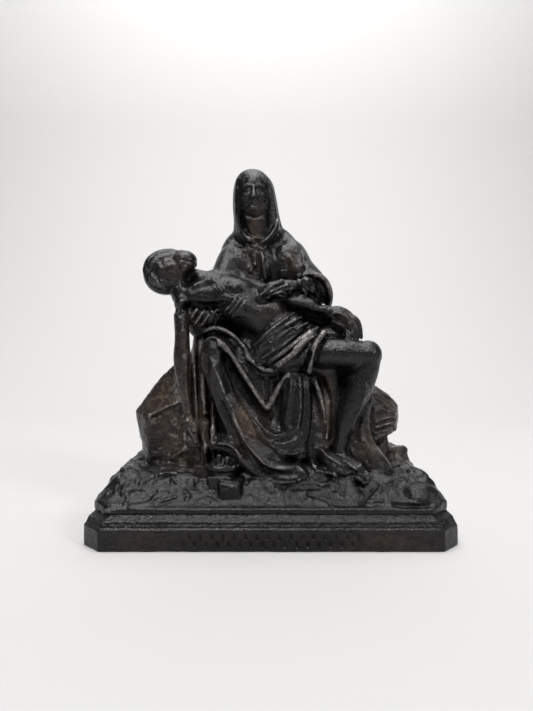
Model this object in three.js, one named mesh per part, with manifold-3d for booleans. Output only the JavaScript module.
// A small cast pieta: a seated, veiled mother holds her dead son across her lap.
// Both sit among rocks on a moulded plinth with cut corners, and all of it is one casting.
// Millimetres, +X to the viewer's right, +Y to the back, +Z up, origin under the plinth's middle.

import {
  BoxGeometry, BufferAttribute, BufferGeometry, CatmullRomCurve3, Group, Matrix4, Mesh,
  MeshStandardMaterial, Plane, SphereGeometry, Triangle, Vector3,
} from 'three';
import { ConvexGeometry } from 'three/addons/geometries/ConvexGeometry.js';
import { LoftGeometry } from 'three/addons/geometries/LoftGeometry.js';
import { mergeVertices } from 'three/addons/utils/BufferGeometryUtils.js';
import Module from 'manifold-3d';

// Driving dimensions of the plinth
const plinthWidth = 120;
const plinthDepth = 62;
const cornerCut = 6.4;
const slabHeight = 6.9;
const mouldingHeight = 5.1;
const mouldingInset = 2.3;

// Driving dimensions of the mock inscription, rows of upright strokes cut into the slab's front
const inscriptionWidth = 56;
const strokeWidth = 0.7;
const strokeHeight = 1.5;
const strokeDepth = 0.4;
const strokePitch = 3.5;
const strokeRows = 2;

// Height of the figures and rocks, from the plinth's top to the top of the veil
const groupHeight = 118;

// The group is drawn for a height of 118 above a plinth top at 12, and is scaled from there
const drawnHeight = 118;
const drawnGround = 12;
const share = groupHeight / drawnHeight;
const plinthHeight = slabHeight + mouldingHeight;

// How closely the facets follow the joined forms
const mergeDistance = 1e-4;
const facetTolerance = 0.19;

// How finely each kind of form is faceted, as sides around it and rings along it
const mass = { sides: 14, rings: 9 };
const body = { sides: 11, rings: 8 };
const bone = { sides: 8, rings: 7 };
const longBone = { sides: 8, rings: 11 };
const finger = { sides: 5, rings: 3 };
const bead = { sides: 7, rings: 5 };
const thorn = { sides: 3, rings: 2 };
const strand = { sides: 5, rings: 7 };
const coil = { sides: 5, rings: 12 };
const trunk = { sides: 16, rings: 12 };
const pleatSides = 4;

const wasm = await Module();
wasm.setup();

function at(x, y, z) {
  return new Vector3(x * share, y * share, plinthHeight + (z - drawnGround) * share);
}

// Turns a closed geometry into a solid that can be joined and cut
function solid(geometry) {
  const plain = new BufferGeometry().copy(geometry);
  plain.deleteAttribute('normal');
  plain.deleteAttribute('uv');
  const merged = mergeVertices(plain, mergeDistance);
  const mesh = new wasm.Mesh({
    numProp: 3,
    vertProperties: new Float32Array(merged.attributes.position.array),
    triVerts: new Uint32Array(merged.index.array),
  });
  return new wasm.Manifold(mesh);
}

function join(solids) {
  return solids.reduce((whole, piece) => whole.add(piece));
}

// A rounded form along a route: each girth is its half width and its half depth at that point
const frontward = new Vector3(0, -1, 0);
const upward = new Vector3(0, 0, 1);
const bluntEnds = 3.4;
function limb(route, girths, detail, facing = frontward) {
  const path = new CatmullRomCurve3(route.map((point) => at(...point)));
  const swell = new CatmullRomCurve3(girths.map(([wide, deep]) => new Vector3(wide, deep, 0)));
  const geometry = new SphereGeometry(1, detail.sides, detail.rings);
  const spots = geometry.attributes.position;
  const spot = new Vector3();
  for (let i = 0; i < spots.count; i += 1) {
    spot.fromBufferAttribute(spots, i);
    const latitude = Math.acos(Math.min(1, Math.max(-1, spot.y)));
    const round = Math.sin(latitude);
    const along = (latitude / Math.PI + (1 - Math.cos(latitude)) / 2) / 2;
    const taper = Math.pow(Math.abs(2 * along - 1), bluntEnds);
    const fullness = Math.pow(Math.max(0, 1 - taper), 1 / bluntEnds);
    const centre = path.getPoint(along);
    const tangent = path.getTangent(along);
    const side = new Vector3().crossVectors(tangent, facing).normalize();
    const depth = new Vector3().crossVectors(tangent, side).normalize();
    const girth = swell.getPoint(along).multiplyScalar(fullness * share);
    const across = round > 0 ? spot.x / round : 0;
    const inward = round > 0 ? spot.z / round : 0;
    centre.addScaledVector(side, across * girth.x);
    centre.addScaledVector(depth, inward * girth.y);
    spots.setXYZ(i, centre.x, centre.y, centre.z);
  }
  return solid(geometry);
}

// An ellipsoid with its own axes, for heads and other round masses
const uprightAxes = [[1, 0, 0], [0, 1, 0], [0, 0, 1]];
function blob(centre, radii, detail, axes = uprightAxes) {
  const geometry = new SphereGeometry(1, detail.sides, detail.rings);
  const [wide, deep, tall] = axes.map((axis, i) => (
    new Vector3(...axis).normalize().multiplyScalar(radii[i] * share)));
  geometry.applyMatrix4(new Matrix4().makeBasis(wide, tall, deep.negate()));
  geometry.translate(...at(...centre).toArray());
  return solid(geometry);
}

function rock(corners) {
  return solid(new ConvexGeometry(corners.map((corner) => at(...corner))));
}

// A raised fold whose crest follows a route; its root reaches well into the cloth behind it
const pleatRoot = 1.3;
function pleat(thickness, ...route) {
  const sunk = route.map(([x, y, z]) => [x, y + thickness * pleatRoot, z]);
  const girths = route.map(() => [thickness, thickness * (1 + pleatRoot)]);
  return limb(sunk, girths, { sides: pleatSides, rings: route.length + 3 });
}

// Fingers or toes side by side, each from its knuckle over its joint to its tip
const tipShare = 0.8;
function fingers(knuckle, joint, tip, spread, thickness, count = 4) {
  const parts = [];
  for (let i = 0; i < count; i += 1) {
    const shift = (point) => point.map((value, axis) => value + spread[axis] * i);
    const girths = [1, 1, tipShare].map((part) => [thickness * part, thickness * part]);
    parts.push(limb([shift(knuckle), shift(joint), shift(tip)], girths, finger));
  }
  return join(parts);
}

// The plinth: a slab under a moulding of a step, a round bead, a hollow and a fillet
function plinthOutline(inset, height) {
  const x = plinthWidth / 2 - inset;
  const y = plinthDepth / 2 - inset;
  return [
    [x, -y + cornerCut], [x, y - cornerCut], [x - cornerCut, y], [-x + cornerCut, y],
    [-x, y - cornerCut], [-x, -y + cornerCut], [-x + cornerCut, -y], [x - cornerCut, -y],
  ].map(([cornerX, cornerY]) => new Vector3(cornerX, cornerY, height));
}

function plinth() {
  // Shares of the moulding's inset and height, from the slab up to the fillet
  const moulding = [
    [0.25, 0.04], [0.25, 0.16], [0.11, 0.24], [0.08, 0.33], [0.15, 0.43],
    [0.4, 0.5], [0.75, 0.62], [0.95, 0.8], [0.8, 0.86], [1, 1],
  ];
  const sections = [plinthOutline(0, 0), plinthOutline(0, slabHeight)];
  moulding.forEach(([inset, rise]) => {
    sections.push(plinthOutline(mouldingInset * inset, slabHeight + mouldingHeight * rise));
  });
  return solid(new LoftGeometry(sections, { capStart: true, capEnd: true }));
}

function inscription() {
  const strokes = [];
  const count = Math.floor(inscriptionWidth / strokePitch);
  const rowPitch = slabHeight / (strokeRows + 1);
  for (let row = 0; row < strokeRows; row += 1) {
    const stagger = (row % 2) / 2 - 1 / 4;
    for (let i = 0; i < count; i += 1) {
      const stroke = new BoxGeometry(strokeWidth, strokeDepth * 2, strokeHeight);
      const x = (i - (count - 1) / 2 + stagger) * strokePitch;
      stroke.translate(x, -plinthDepth / 2, rowPitch * (row + 1));
      strokes.push(solid(stroke));
    }
  }
  return join(strokes);
}

// The rocky ground is a lumpy bank that rises to the back, inside the plinth's top outline
const groundColumns = 22;
const groundRows = 11;
const groundSink = 1.5;
const groundMargin = 0.25;
function smooth(value) {
  const t = Math.min(1, Math.max(0, value));
  return t * t * (3 - 2 * t);
}

// The bank in drawn millimetres: its edges, the heights of its parts and how far each part reaches
const bank = {
  side: 56, end: 28, foot: 0.7, edge: 4.8, shoulder: 3.6, rear: 3.6, rearStart: -4,
  frontReach: 12, shoulderReach: 6, rearReach: 20, rearSideReach: 8,
};
const rim = { low: 0.4, margin: 1.4, reach: 3.4 };
const hump = { height: 2.4, y: -4, wide: 30, deep: 11.4 };
const ledge = { height: 0.75, x: 0.33, y: 0.55, crossX: -0.12, crossY: 0.42 };
const lump = { height: 0.5, x: 0.81, shift: 1.3, crossX: 0.2, crossY: 0.9 };

// Height above the plinth's top at a place in drawn millimetres
function groundRise(x, y) {
  const side = bank.side - Math.abs(x);
  const front = smooth((y + bank.end) / bank.frontReach);
  const inside = (Math.min(side, bank.end - y) + rim.margin) / rim.reach;
  const edgeShare = rim.low + (1 - rim.low) * smooth(inside);
  const shoulder = bank.shoulder * smooth(side / bank.shoulderReach);
  const rear = bank.rear * smooth((y - bank.rearStart) / bank.rearReach)
    * smooth(side / bank.rearSideReach);
  const middle = hump.height * Math.exp(-((x / hump.wide) ** 2 + ((y - hump.y) / hump.deep) ** 2));
  const ledges = ledge.height * Math.sin(x * ledge.x + y * ledge.y)
    * Math.cos(y * ledge.crossY + x * ledge.crossX);
  const lumps = lump.height * Math.sin(x * lump.x + lump.shift)
    * Math.sin(y * lump.crossY + x * lump.crossX);
  const height = bank.edge + shoulder + rear + middle + ledges + lumps;
  return bank.foot + height * front * edgeShare;
}

function ground() {
  const halfWidth = plinthWidth / 2 - mouldingInset - groundMargin;
  const halfDepth = plinthDepth / 2 - mouldingInset - groundMargin;
  const straight = halfDepth - cornerCut;
  const rows = [-halfDepth];
  for (let i = 0; i <= groundRows; i += 1) {
    rows.push(-straight + (i / groundRows) * straight * 2);
  }
  rows.push(halfDepth);
  const sections = rows.map((y) => {
    const reach = halfWidth - Math.max(0, Math.abs(y) - straight);
    const bottom = plinthHeight - groundSink;
    const section = [new Vector3(-reach, y, bottom), new Vector3(reach, y, bottom)];
    for (let i = groundColumns; i >= 0; i -= 1) {
      const across = (i / groundColumns) * 2 - 1;
      const rise = groundRise(across * reach / share, y / share) * share;
      section.push(new Vector3(across * reach, y, plinthHeight + rise));
    }
    return section.reverse();
  });
  return solid(new LoftGeometry(sections, { capStart: true, capEnd: true }));
}

function rocks() {
  const leftCrag = rock([
    [-36, 8, 58], [-27, 9, 60], [-43, 8, 51.5], [-51.5, 8, 39.5], [-47, 8, 29], [-46, 6, 16],
    [-45.5, 0, 38], [-35, -2, 43], [-24, -3, 46], [-30, -6, 22], [-43, -4, 16],
    [-49, 17, 26], [-45, 20, 40], [-37, 19, 53], [-22, 21, 56], [-18, 21, 16], [-44, 21, 16],
  ]);
  const rightCrag = rock([
    [28, 8, 53], [40, 8, 49.5], [45, 8, 46], [49, 8, 41.5], [49, 8, 35], [46, 6, 31.5],
    [38, -1, 45], [46, 1, 39], [45.5, 0, 33], [37, -3, 29], [26, -4, 29],
    [44, 19, 44], [46, 18, 32], [26, 21, 50], [26, 20, 28],
  ]);
  const rightFoot = rock([
    [36, 3, 30], [44, 5, 31], [46, 8, 25], [43, 0, 16], [30, -2, 16], [48, 15, 16], [44, 17, 31],
    [26, 18, 31], [26, 18, 16],
  ]);
  const rightKnob = rock([
    [44, 4, 25.5], [51, 6, 26.5], [53, 8, 21], [54, 12, 15], [47, -2, 15], [41, 2, 15],
    [50, 16, 25], [43, 17, 15],
  ]);
  const seat = rock([
    [-27, 3, 58], [28, 3, 54], [-28, 0, 18], [30, 0, 18], [-24, 20, 50], [24, 20, 46],
    [-26, 23.5, 18], [27, 23.5, 18], [-6, 22, 52],
  ]);
  return join([
    leftCrag, rightCrag, rightFoot, rightKnob, seat,
    blob([48.6, -19.6, 13.6], [8, 6.6, 5.4], body),
    rock([
      [-50, -14, 12], [-46, -21, 12], [-30, -25, 12], [-23, -20, 12], [-44, -12, 19.6],
      [-33, -13, 20.4], [-39, -20, 16.4], [-28, -19.6, 17],
    ]),
    rock([
      [-9, -25, 12], [15, -25.4, 12], [13, -19, 12], [-6, -20, 16.4], [10, -20, 17], [2, -23.6, 14.8],
    ]),
    rock([
      [20, -25, 12], [38, -25.4, 12], [37, -18, 13], [25, -20, 16.6], [34, -20, 17.4], [29, -23.8, 14.8],
    ]),
  ]);
}

// The mother's trunk under her mantle, from the shoulders down to the seat, with both upper arms
function motherTrunk() {
  return join([
    limb([[-4.4, 5.4, 109], [-3.4, 5.6, 104.6], [-3.6, 5.8, 99], [-2.8, 6.2, 93], [0, 7.6, 85],
      [0, 9, 72],
      [0, 11, 56], [1, 12, 38], [1, 12, 18]],
    [[5, 4.5], [12.2, 6.8], [15.8, 7.6], [17.4, 8.2], [19, 8.4], [21, 9.2], [24, 10], [27, 10],
      [29, 10]],
    trunk),
    limb([[1, 6, 106], [8, 5, 100], [12.8, 3, 92.6], [17.6, -0.6, 85.6], [18.4, -2, 79]],
      [[5.6, 6.4], [5.6, 6.8], [5.4, 6.6], [5.2, 6], [4, 4.6]], body),
    limb([[-9, 6, 104], [-14.6, 4, 97], [-17.6, 0, 88], [-23.6, -3.6, 79], [-25, -4, 69]],
      [[5.2, 6.4], [4.8, 6.4], [5, 6.4], [5.4, 5.6], [4.8, 4.6]], body),
    blob([6.6, 0.2, 94], [6, 3.6, 8], bone),
    blob([-12, 0, 94], [5, 3.6, 6.6], bone),
    blob([-5.2, -0.8, 94], [6, 3, 8.6], bone),
    pleat(1.2, [-10.2, -3, 101.6], [-9.8, -3.8, 95], [-8, -4.2, 88]),
    pleat(1.2, [-0.6, -3.6, 101.6], [-2, -4.6, 95], [-1.4, -4.8, 87]),
    pleat(1, [11.5, -1, 99], [12, -3, 92], [10.6, -4.4, 88]),
    pleat(0.7, [-4.4, -3.4, 99], [-5.4, -3.8, 94], [-7.6, -3.8, 90]),
  ]);
}

// Her veil is hollowed in front of the face and stands a little off the cheeks
function motherHead() {
  const hood = limb(
    [[-6, 5, 130], [-6.3, 5, 125.4], [-6, 5.6, 118], [-5.4, 6.4, 111], [-4.6, 8, 103], [-3.6, 9.4, 93]],
    [[5.5, 6], [7.5, 7.4], [8.2, 8], [8.6, 8.2], [11, 8], [14, 7]],
    mass,
  );
  const opening = limb(
    [[-6.1, -2.6, 126.6], [-5.8, -2.6, 121], [-5.5, -2.4, 114], [-5, -2.6, 107], [-5, -4, 101]],
    [[4.6, 6], [6.6, 7], [6.8, 7], [6, 6], [3.4, 4]],
    mass,
  );
  const neck = limb([[-5.8, 2, 117], [-5.3, 2.6, 110], [-5, 3.2, 101]], [[3.9, 4], [3.9, 4.4],
    [5.4, 5]], bone);
  const face = [
    blob([-6.2, 1.2, 121.2], [4.9, 6, 7.2], mass),
    blob([-6.2, -1.2, 117.8], [3.6, 3.7, 3.8], body),
    limb([[-6.2, -4.2, 123.2], [-6.2, -5, 121.2], [-6.2, -5.2, 119.4]], [[0.6, 0.7], [0.8, 1.1],
      [1, 1.2]], finger),
    pleat(0.5, [-9.6, -3.3, 122.9], [-8, -4.5, 123.4], [-6.5, -4.7, 122.8]),
    pleat(0.5, [-2.8, -3.3, 122.9], [-4.4, -4.5, 123.4], [-5.9, -4.7, 122.8]),
    pleat(0.5, [-7.9, -4.3, 117.5], [-6.2, -5, 117.7], [-4.5, -4.3, 117.5]),
    blob([-6.2, -3.8, 115.6], [1.6, 1.3, 1.2], bead),
    blob([-8.1, -3.8, 121.8], [1.1, 0.9, 0.6], bead),
    blob([-4.3, -3.8, 121.8], [1.1, 0.9, 0.6], bead),
  ];
  const wraps = [
    pleat(1, [-11.4, -0.2, 115], [-11, -1.2, 108], [-8.8, -2.8, 103.4], [-5.2, -3.8, 101]),
    pleat(1.2, [2.8, 0, 110.6], [1, -1.6, 105.8], [-1.6, -3, 102.4], [-4.8, -3.8, 100.4]),
    pleat(0.9, [-9.6, 0, 106.4], [-7.4, -1.2, 103.8], [-4.4, -1.8, 103], [-1.6, -1.2, 104],
      [0, 0, 107]),
  ];
  return join([hood.subtract(opening), neck, ...face, ...wraps]);
}

// Her left hand holds his arm below a wide sleeve with a turned rim; the right one holds his side
function motherHands() {
  return join([
    pleat(1.7, [9.6, -6, 88.4], [14.5, -7, 89.2], [19, -6, 87.4], [21.2, -4, 83], [20.9, -1, 78.6]),
    limb([[17.4, -0.5, 85], [13.6, -5.5, 85.2], [9.6, -8.4, 85]], [[3.4, 2.8], [3.4, 3.2],
      [2.6, 2.4]], bone, upward),
    pleat(0.8, [9.4, -9.6, 87.4], [10.6, -10.6, 84.6], [12.4, -9.8, 82]),
    pleat(0.8, [12, -8.6, 88], [13.4, -9.4, 85], [15, -8, 82.2]),
    limb([[10, -8.2, 85], [5.5, -9.8, 84.6], [0.5, -10.6, 83]], [[1.9, 2.2], [2.4, 2.4],
      [2.2, 2.2]], bone),
    fingers([4, -11.6, 86.2], [-0.4, -12.5, 84.9], [-4.4, -12, 82.2], [0.35, 0.1, -1.05], 0.76),
    blob([-2, -9, 82.4], [4, 3.4, 2.6], bead),
    limb([[-25.4, -3, 68], [-25, -6, 71.5], [-23.5, -7.4, 73.6]], [[3.8, 3], [4.4, 3], [4, 2.6]],
      bone, upward),
    fingers([-28.4, -7, 70.8], [-27.4, -9.2, 73.4], [-25.4, -9.6, 77], [2.3, -0.1, 0.1], 1),
    pleat(0.9, [-19.6, -7, 71], [-18.6, -8.8, 73.6], [-16.6, -9, 76]),
  ]);
}

// Her skirt: the core, both legs under the cloth, and the lap that carries him
function motherSkirt() {
  return join([
    limb([[-5, -1, 68], [-5, -2, 56], [-3.5, -2, 42], [-3, -2.5, 28], [-2, -3, 14]],
      [[17, 9], [20, 9.4], [20, 9.6], [21, 11.5], [23, 13]], mass),
    limb([[-12, -1, 68], [4, -2, 67], [17, -3.5, 66], [29, -6, 63]], [[6, 8], [7, 8], [6.6, 7.6],
      [4.4, 5]], body),
    limb([[-23, -2, 69], [-25, -4, 58], [-25.2, -4.6, 44], [-24.4, -6, 30], [-24, -7, 17]],
      [[4.4, 4], [4.6, 4.4], [5, 5], [5.4, 5.4], [6, 6]], body),
    limb([[-10, 2, 60], [-17, -7, 62.5], [-20, -12.4, 61.5]], [[7, 7], [5.8, 5.4], [4.4, 4.8]],
      body, upward),
    limb([[-20, -12.2, 66.4], [-19.2, -13.2, 58], [-15.4, -14.6, 46], [-10.4, -15.8, 36],
      [-4, -17.2, 28],
      [4, -18, 23.6], [10.4, -18.6, 21.4]],
    [[4, 4.4], [4.6, 4.2], [4.2, 4], [4.4, 4], [3.8, 3.8], [2.8, 3.2], [1.4, 2]], longBone),
    limb([[8, -4, 57], [8.6, -10.6, 51], [8.8, -11.6, 42], [8.4, -12.2, 33], [7, -13.6, 25]],
      [[4.6, 4], [5, 4], [5, 3.8], [5.2, 4], [6.4, 4.4]], body),
    limb([[-3, -4, 48], [-2, -7.4, 38], [0, -11.4, 30], [4, -14.4, 23]], [[6, 5], [7.4, 5],
      [7.4, 5], [6.4, 4]], body),
    limb([[15, -4, 56], [16.6, -6.4, 44], [16, -8.6, 32], [15, -10, 22]], [[4, 5], [4.6, 5.4],
      [5, 5.4], [5, 5]], bone),
    limb([[22, -2, 62], [24, -4, 52], [24.6, -6, 40], [26, -8, 28], [29, -8, 16]],
      [[8, 5], [9.8, 6], [8.6, 6], [7.6, 6], [9, 6]], mass),
    limb([[-3, -14, 20], [6, -15.6, 20], [15, -15, 19.4], [23, -14, 19.4]], [[4, 5], [4.4, 5.4],
      [4.4, 5.6], [3, 4]], bone),
  ]);
}

// The swept folds and turned edges of her skirt and mantle
function skirtFolds() {
  return join([
    pleat(1.15, [-18.4, -16.2, 55], [-15.6, -17.4, 46], [-12.2, -18.4, 38], [-8.8, -19.4, 32],
      [-4, -20.4, 26.4],
      [1, -20.8, 23.6], [7, -20.8, 22.4], [10.6, -20.4, 20.8]),
    pleat(1, [-13, -16.8, 48], [-9, -17.8, 40], [-5, -18.8, 35.4], [-1, -19, 31], [3, -18.8, 28],
      [9, -18.6, 27.6]),
    pleat(1.15, [-23.4, -12, 60], [-23, -13.8, 64.6], [-20, -15.4, 66.6], [-17.2, -15.6, 65.4],
      [-12, -13.6, 58.4],
      [-6.6, -12.4, 50], [-3.2, -12, 44.2], [-1.8, -12, 42.6], [0.2, -12.2, 45],
        [3.4, -13.4, 51.4], [6.4, -14, 54],
      [11.4, -13.2, 54]),
    pleat(1.2, [-26, -6.6, 67.4], [-19.4, -8.8, 70], [-12.6, -9.2, 67.2], [-8.2, -9.6, 61.6]),
    pleat(1.3, [-23.8, -11, 63], [-23.4, -12.4, 52], [-23, -13, 40], [-22, -14, 22]),
    pleat(1.6, [-26.6, -7.6, 68], [-26.4, -9, 56], [-26, -10.2, 42], [-24.4, -12, 22]),
    pleat(1.2, [-20, -13, 45], [-19.6, -14.2, 36], [-19.2, -15.2, 24]),
    pleat(1.1, [13.8, -10, 54], [16.8, -11.4, 48], [18.2, -12, 42], [18.6, -12.8, 36],
      [17.6, -13.4, 30]),
    pleat(0.8, [2.2, -12.2, 48], [2, -13.2, 40], [0.6, -14.2, 33]),
    pleat(0.8, [5.6, -14, 48], [5.8, -14.8, 40], [4.6, -15.6, 32]),
    pleat(0.8, [12, -13.2, 49], [12.6, -14.2, 41], [12, -15.2, 33]),
    pleat(0.9, [0.4, -15.4, 31], [4.6, -16.8, 30], [9, -16, 32.6]),
    pleat(1, [9, -18, 26.4], [12.4, -18.4, 27.4], [14, -17, 24]),
    pleat(0.8, [-4.6, -10, 57], [-4, -9.8, 51], [-2.6, -10.2, 46]),
    pleat(0.8, [0.4, -10, 57], [0, -10.2, 51], [-0.8, -10.6, 46]),
    pleat(0.9, [-0.6, -21, 17.4], [3, -21.4, 18.8], [8, -21.6, 19.4], [11.6, -21, 21]),
    pleat(0.9, [4, -22.4, 16], [10, -22.4, 17.4], [16, -21.8, 17.2], [20.6, -20.6, 17.6],
      [21.6, -19.6, 21],
      [15.6, -19.4, 22.2], [13.8, -18.6, 25]),
  ]);
}

// Cloth that spreads over the ground on both sides of the skirt
function trailingCloth() {
  return join([
    limb([[32.4, -6.6, 57], [32.4, -8.4, 46], [30.8, -9.8, 37], [31.6, -11.6, 29],
      [36.6, -13.6, 21], [41, -14, 15]],
      [[2.8, 4], [3.2, 4], [3.6, 4], [4.6, 4], [5.4, 4], [4, 3]], body),
    pleat(0.9, [35, -9.4, 53], [34.8, -10.6, 45], [33.2, -12, 38], [33.4, -13.8, 31.6],
      [38, -15.8, 26.2], [43, -15.6, 18.6]),
    pleat(0.9, [28.6, -11, 42], [27.4, -12.4, 36], [27.8, -14, 29], [30.4, -15.4, 24]),
    limb([[-21, -12, 30], [-14, -14.6, 30.6], [-8, -17, 26], [-2, -18, 20]], [[3, 4], [3.4, 4.4],
      [3.2, 4.4], [2.4, 3]], bone),
    pleat(1, [-19.8, -15.4, 33], [-14, -17.4, 33], [-9.4, -19.2, 29.4], [-5.6, -20.4, 24.6],
      [-1.6, -20.6, 21]),
    pleat(1, [-18.6, -16.8, 29.6], [-13, -18.8, 29.2], [-9, -20.4, 26], [-6, -21, 22]),
  ]);
}

// The mantle at the back falls from the shoulders over the seat in broad folds
const backFoldCount = 7;
function mantleBack() {
  const folds = [];
  for (let i = 0; i < backFoldCount; i += 1) {
    const spread = (i / (backFoldCount - 1)) * 2 - 1;
    const swell = 1 - spread * spread;
    folds.push(limb([
      [-3 + spread * 12, 8 + 3.6 * swell, 101],
      [-1 + spread * 17, 10 + 5.5 * swell, 84],
      [spread * 20, 13.4 + 6.6 * swell, 60],
      [1 + spread * 24, 16.4 + 6.4 * swell, 38],
      [1 + spread * 27, 17.6 + 6 * swell, 15],
    ], [[1.5, 1.8], [2.1, 2.2], [2.5, 2.4], [2.7, 2.6], [2.9, 2.4]], strand));
  }
  return join(folds);
}

// His head is thrown back over her arm: the crown to the left and low, the face to the front
const crownward = new Vector3(-0.95, 0.05, -0.26).normalize();
const faceward = new Vector3(0.12, -0.96, 0.14);
faceward.addScaledVector(crownward, -faceward.dot(crownward)).normalize();
const cheekward = new Vector3().crossVectors(faceward, crownward).normalize();
const headAxes = [cheekward, faceward, crownward].map((axis) => axis.toArray());
const sonHeadCentre = [-35.4, -6.6, 90.6];

// A place on his head, as steps towards the crown, the face and the cheek
function onHead(up, out, aside) {
  const [x, y, z] = sonHeadCentre;
  return new Vector3(x, y, z).addScaledVector(crownward, up).addScaledVector(faceward, out)
    .addScaledVector(cheekward, aside).toArray();
}

function lock(thickness, ...spots) {
  const detail = { sides: pleatSides, rings: spots.length + 2 };
  const girths = spots.map(() => [thickness, thickness]);
  return limb(spots.map((spot) => onHead(...spot)), girths, detail, faceward);
}

function sonHead() {
  const paired = [];
  [-1, 1].forEach((cheek) => {
    paired.push(
      lock(0.7, [1.4, 5.9, 3.2 * cheek], [2, 6.7, 1.8 * cheek], [1.4, 6.9, 0.4 * cheek]),
      blob(onHead(0.3, 6, 1.9 * cheek), [1.1, 0.8, 0.7], bead, headAxes),
      lock(1.5, [-4.6, 4.8, 2.6 * cheek], [-7, 4.6, 1.2 * cheek], [-9, 3.6, 0.3 * cheek]),
      lock(1.6, [6.8, 4.6, 1.2 * cheek], [3.8, 3.4, 5.6 * cheek], [-1, 1.4, 6.8 * cheek],
        [-5.6, -1, 6.4 * cheek]),
      lock(1.5, [8.6, 1.6, 2.2 * cheek], [6, -0.6, 6.4 * cheek], [0, -2.6, 7.6 * cheek],
        [-5, -4, 7 * cheek]),
    );
  });
  return join([
    blob(onHead(0.8, -0.6, 0), [7.8, 7.4, 9.4], body, headAxes),
    blob(onHead(-0.5, 1.4, 0), [5, 5.4, 7.2], mass, headAxes),
    blob(onHead(-5.4, 1.6, 0), [3.6, 3.8, 3.6], bone, headAxes),
    lock(0.9, [1.4, 6.1, 0], [-0.6, 7, 0], [-2.4, 7.4, 0]),
    lock(0.6, [-3.9, 5.9, -1.8], [-3.7, 6.5, 0], [-3.9, 5.9, 1.8]),
    ...paired,
    limb([[-33, -3, 89.4], [-27, -2.4, 87.6], [-20, -2.6, 86]], [[5, 4.6], [4.3, 4.4], [5, 5]], bone),
  ]);
}

// His trunk slopes from the shoulders at the left to the hips at the right
function sonTrunk() {
  return join([
    limb([[-28, -3.6, 86], [-19, -5.4, 83.4], [-10, -7, 79], [-1, -8.4, 73], [6, -9.4, 66],
      [8, -9.6, 58]],
      [[5, 5.8], [7, 6.8], [7.8, 7], [6.8, 6.2], [7.4, 6.4], [6, 6]], mass),
    blob([-30.2, -6.4, 82.4], [5, 5, 5.2], body),
    blob([-17, -1.6, 87.6], [8.6, 5.4, 4.8], body),
    blob([-24, -8.4, 82], [7.6, 4.2, 4.2], body, [[1, 0, -0.05], [0, 1, 0.2], [0.05, -0.2, 1]]),
    blob([-11.6, -9, 83.4], [6.6, 4.6, 4.4], body, [[1, 0, -0.3], [0, 1, 0.2], [0.3, -0.2, 1]]),
    pleat(0.9, [-17, -10.2, 79.4], [-14, -11.6, 78.6], [-11, -12.2, 80]),
    pleat(0.9, [-15.4, -10.4, 77], [-12.2, -12.2, 76.4], [-9, -12.8, 78.2]),
    pleat(0.9, [-13.4, -10.6, 74.6], [-10, -12.6, 74.2], [-7, -13.2, 76]),
    blob([-0.8, -11.8, 75.6], [5.4, 3.4, 4.2], bone),
    limb([[-16, -1, 88], [-6, -3, 85], [3.6, -5.4, 80.4]], [[3.6, 3.6], [3.4, 3.4], [3.2, 3.2]], bone),
    limb([[2, -2, 79], [12, -3.8, 77.6], [20, -6.4, 74.6], [27, -8.6, 70]], [[4, 5.4], [4, 5.4],
      [3.4, 4.6], [3, 3.8]], bone),
  ]);
}

// Both of his arms: the right one hangs straight down, the left one rests on his thigh
function sonArms() {
  return join([
    limb([[-31, -8, 83], [-30.8, -10.6, 75], [-30.4, -11.8, 67], [-30.4, -12, 59], [-29.6, -12, 50],
      [-28.6, -12.2, 42], [-28.2, -12.4, 37]],
    [[3.8, 4.2], [3, 3.6], [2.6, 3], [3, 3.1], [2.3, 2.6], [1.6, 1.8], [1.5, 1.5]], longBone),
    limb([[-28.4, -12.2, 42], [-27.8, -12.8, 37.6], [-27.2, -13.2, 33]], [[1.5, 1.6], [2.2, 1.7],
      [2.1, 1.5]], bone),
    fingers([-29, -13, 35.6], [-28.4, -14, 32], [-26.8, -13.6, 28.8], [1, -0.1, 0.15], 0.7),
    limb([[-27, -13.2, 39], [-25.4, -14.2, 36], [-25.2, -14.2, 33]], [[0.9, 0.9], [0.9, 0.9],
      [0.7, 0.7]], finger),
    limb([[2, -5.6, 80.8], [9, -8.6, 79.4], [15, -10, 77.8], [22, -11, 75.6]],
      [[2.5, 2.6], [2.6, 2.8], [2.2, 2.4], [1.6, 1.9]], bone),
    limb([[20, -10.8, 76.2], [24, -11.6, 74.6], [28.6, -12, 71.6]], [[2.1, 2.2], [3, 2.4],
      [2.8, 2.2]], bone),
    fingers([25.8, -12.4, 75], [30, -13.8, 72.4], [32, -13.8, 67.6], [-1.5, -0.3, -0.7], 1.05),
    limb([[21, -11.8, 75], [22.8, -13, 72], [25.6, -13.2, 67]], [[1, 1], [1, 1], [0.8, 0.8]], finger),
  ]);
}

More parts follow.
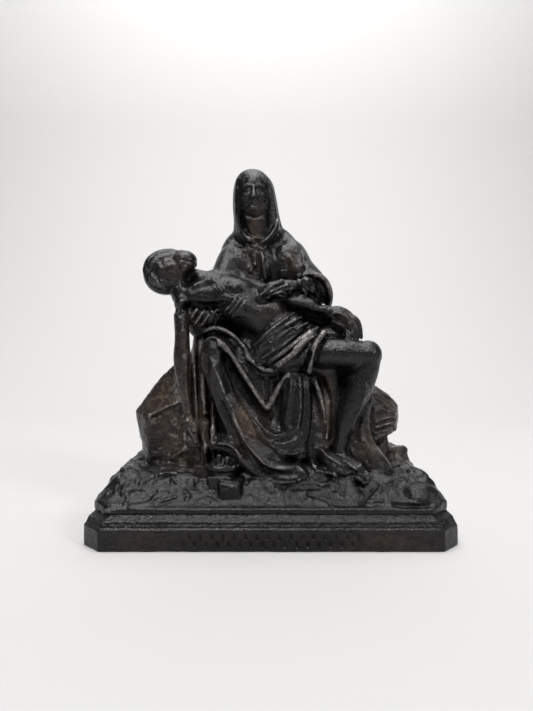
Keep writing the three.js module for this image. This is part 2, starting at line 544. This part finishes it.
// The loincloth is drawn across the hips in slanting folds and ends in a heavy hem on the thigh
function loincloth() {
  return join([
    limb([[9, -9, 75], [5, -10.4, 68], [1.5, -11, 61], [-0.6, -10.6, 56]], [[4.6, 4.6], [8, 6.2],
      [8.4, 6], [4.4, 4.4]], body),
    limb([[-8, -11, 60.4], [0, -12, 60.6], [8, -12.6, 61.4], [16, -12.8, 62]], [[2.6, 3.6],
      [5, 4.8], [5.8, 5.2], [5.8, 5.4]],
      body),
    pleat(0.8, [-6.6, -13.2, 63.4], [-0.6, -15, 68.4], [4, -14.8, 72.4], [8.4, -12.8, 75.4]),
    pleat(0.85, [-7.4, -13.6, 61.4], [-1, -16, 65.6], [5.4, -16, 70.6], [11, -13.2, 74]),
    pleat(0.85, [-6.8, -14, 59.4], [0, -16.6, 62.8], [7, -17, 68], [13, -14, 72]),
    pleat(0.95, [-4.6, -14.4, 57.4], [2, -16.8, 60.4], [8.4, -17.4, 65], [15, -14.8, 69.8]),
    pleat(1.15, [-0.6, -15.2, 56.6], [4.4, -17.2, 58.6], [10, -17.8, 63], [15.4, -16, 67.8]),
    pleat(1.2, [13, -15.6, 54.6], [13.4, -17.2, 58], [14.8, -17.6, 63], [17.6, -15.8, 67.4],
      [18.4, -12.6, 68.4]),
    pleat(0.9, [10.6, -16.2, 57], [12, -17.6, 61.6], [15.4, -16.6, 66.4]),
    pleat(1, [-8.4, -11.8, 62.4], [-6.6, -13.8, 58.4], [-2, -14.4, 55.2], [4, -14.2, 55.6],
      [10, -14.8, 56]),
  ]);
}

// His legs: the near one crosses to the right and bends at the knee, the far one stays in its shade
function sonLegs() {
  return join([
    limb([[10, -10.4, 62], [18, -12.6, 61.6], [26, -14.4, 61.2], [35.6, -15.2, 60.8]],
      [[5.6, 5.6], [5.3, 5.6], [5.1, 5.2], [4.8, 4.8]], mass),
    blob([32.9, -15.2, 60.8], [4.7, 4.8, 5], body),
    limb([[33, -15, 64.4], [32.8, -15.2, 58], [30.4, -14.8, 50.6], [27.4, -14.4, 44],
      [25.2, -14.4, 37.4],
      [23.6, -14.4, 31.6], [23.4, -14.6, 25]],
    [[4.6, 4.6], [4.5, 4.6], [4.5, 4.4], [4, 4.2], [3.3, 3.6], [2.6, 2.9], [2.4, 2.6]], longBone),
    limb([[22, -13, 28], [25, -15.6, 25.4], [28.4, -18, 23], [32, -19.6, 20.6]], [[2.6, 2.6],
      [2.5, 2.5], [2.4, 2.2], [2, 1.6]],
      bone),
    fingers([29.4, -18.6, 22.8], [31.4, -20, 22], [33, -20.8, 20.6], [-0.85, -0.75, -0.5], 0.7),
    limb([[10, -8, 57.6], [20, -8.8, 56], [21.6, -9.6, 48], [20.8, -10.6, 38], [18.4, -12.4, 27]],
      [[4, 4], [4, 4], [2.9, 3.2], [2.7, 3], [2.5, 2.6]], longBone),
    limb([[17, -12.4, 28.4], [19, -15, 26], [22, -17.6, 23.8], [25.4, -19.4, 21]], [[2.6, 2.6],
      [2.5, 2.6], [2.3, 2.4], [1.7, 1.6]],
      bone),
  ]);
}

// At the foot of the skirt a crown of thorns with two nails lies on a squared stone
const thornCount = 9;
const crownReach = [4.6, 2.8];
const thornLean = 0.3;
const thornRise = 1.4;
function relics() {
  const [crownX, crownY, crownZ] = [-16, -19.6, 23.8];
  const ring = [];
  const thorns = [];
  for (let i = 0; i <= thornCount; i += 1) {
    const turn = (i / thornCount) * Math.PI * 2;
    const outX = crownReach[0] * Math.cos(turn);
    const outY = crownReach[1] * Math.sin(turn);
    ring.push([crownX + outX, crownY + outY, crownZ]);
    const tip = [crownX + outX * (1 + thornLean), crownY + outY * (1 + thornLean), crownZ + thornRise];
    const root = [crownX + outX * (1 - thornLean), crownY + outY * (1 - thornLean), crownZ - thornRise];
    thorns.push(limb([root, tip], [[0.8, 0.8], [0.8, 0.8]], thorn));
  }
  return join([
    limb(ring, ring.map(() => [1.1, 1.1]), coil, upward),
    ...thorns.slice(1),
    blob([crownX, crownY + 1, crownZ - 0.6], [4.8, 3.6, 4], bone),
    limb([[-17.2, -20.2, 22], [-17, -21.2, 26], [-16.8, -21.4, 28.4]], [[0.7, 1], [0.7, 1], [1, 1]],
      finger),
    limb([[-14.8, -20.4, 22], [-14.4, -21.6, 25.4], [-14, -21.8, 27.8]], [[0.7, 1], [0.7, 1],
      [1, 1]], finger),
    rock([
      [-21, -22, 21.2], [-13, -23, 21.2], [-13, -16, 21.6], [-21, -16, 21.4], [-20, -21.4, 15],
      [-12, -21.4, 15], [-19, -15, 14],
    ]),
    rock([
      [-16.8, -25, 14], [-9.2, -25, 14.2], [-8.6, -17, 14.4], [-17, -17, 14.4],
      [-16.4, -24.4, 19.4], [-9, -24, 20.4], [-8.6, -17, 22], [-16.8, -17, 21.6],
    ]),
  ]);
}

// Draws neighbouring corners together where the surface moves by less than the tolerance,
// which takes out the slivers that the joins leave and keeps every outline
const turnLimit = 0.25;
const tidyPasses = 6;
function tidyFacets(mesh, tolerance) {
  const points = [];
  for (let i = 0; i < mesh.vertProperties.length; i += 3) {
    points.push(new Vector3().fromArray(mesh.vertProperties, i));
  }
  const faces = [];
  const around = points.map(() => new Set());
  for (let i = 0; i < mesh.triVerts.length; i += 3) {
    faces.push(Array.from(mesh.triVerts.slice(i, i + 3)));
    faces[faces.length - 1].forEach((corner) => around[corner].add(faces.length - 1));
  }
  const triangle = new Triangle();
  const normalOf = (corners) => {
    triangle.set(...corners.map((corner) => points[corner]));
    return triangle.getNormal(new Vector3());
  };
  const neighbours = (corner) => new Set([...around[corner]].flatMap((face) => (
    faces[face].filter((other) => other !== corner))));
  // How far the surface moves when one corner is drawn onto another, or Infinity if it would fold
  const movement = (corner, onto) => {
    let most = 0;
    for (const face of around[corner]) {
      const before = normalOf(faces[face]);
      const plane = new Plane().setFromNormalAndCoplanarPoint(before, points[corner]);
      most = Math.max(most, before.lengthSq() > 0 ? Math.abs(plane.distanceToPoint(points[onto])) : 0);
      if (!faces[face].includes(onto)) {
        const after = normalOf(faces[face].map((other) => (other === corner ? onto : other)));
        const folded = before.lengthSq() > 0 && before.dot(after) < turnLimit;
        most = folded || after.lengthSq() === 0 ? Infinity : most;
      }
    }
    return most;
  };
  const drawOnto = (corner, onto) => {
    for (const face of [...around[corner]]) {
      if (faces[face].includes(onto)) {
        faces[face].forEach((other) => around[other].delete(face));
        faces[face] = null;
      } else {
        faces[face] = faces[face].map((other) => (other === corner ? onto : other));
        around[onto].add(face);
      }
    }
    around[corner].clear();
  };
  for (let pass = 0; pass < tidyPasses; pass += 1) {
    for (let corner = 0; corner < points.length; corner += 1) {
      const ring = neighbours(corner);
      let best = null;
      let least = tolerance * (pass + 1) / tidyPasses;
      for (const onto of ring) {
        const shared = [...neighbours(onto)].filter((other) => ring.has(other));
        const moved = shared.length === 2 ? movement(corner, onto) : Infinity;
        if (moved < least) {
          least = moved;
          best = onto;
        }
      }
      if (best !== null) {
        drawOnto(corner, best);
      }
    }
  }
  return { points, faces: faces.filter((face) => face !== null) };
}

function castingGeometry() {
  const whole = join([
    plinth().subtract(inscription()), ground(), rocks(), motherTrunk(), motherHead(), motherHands(),
    motherSkirt(), skirtFolds(), trailingCloth(), mantleBack(), sonHead(), sonTrunk(), sonArms(),
    loincloth(), sonLegs(), relics(),
  ]);
  const { points, faces } = tidyFacets(whole.getMesh(), facetTolerance);
  const geometry = new BufferGeometry();
  const corners = new Float32Array(points.flatMap((point) => point.toArray()));
  geometry.setAttribute('position', new BufferAttribute(corners, 3));
  geometry.setIndex(new BufferAttribute(new Uint32Array(faces.flat()), 1));
  geometry.computeVertexNormals();
  return geometry;
}

const blackPatina = new MeshStandardMaterial({ color: 0x232123, roughness: 0.4, metalness: 0.25 });
const casting = new Mesh(castingGeometry(), blackPatina);
casting.name = 'pieta_casting';

const pieta = new Group();
pieta.add(casting);

export default pieta;
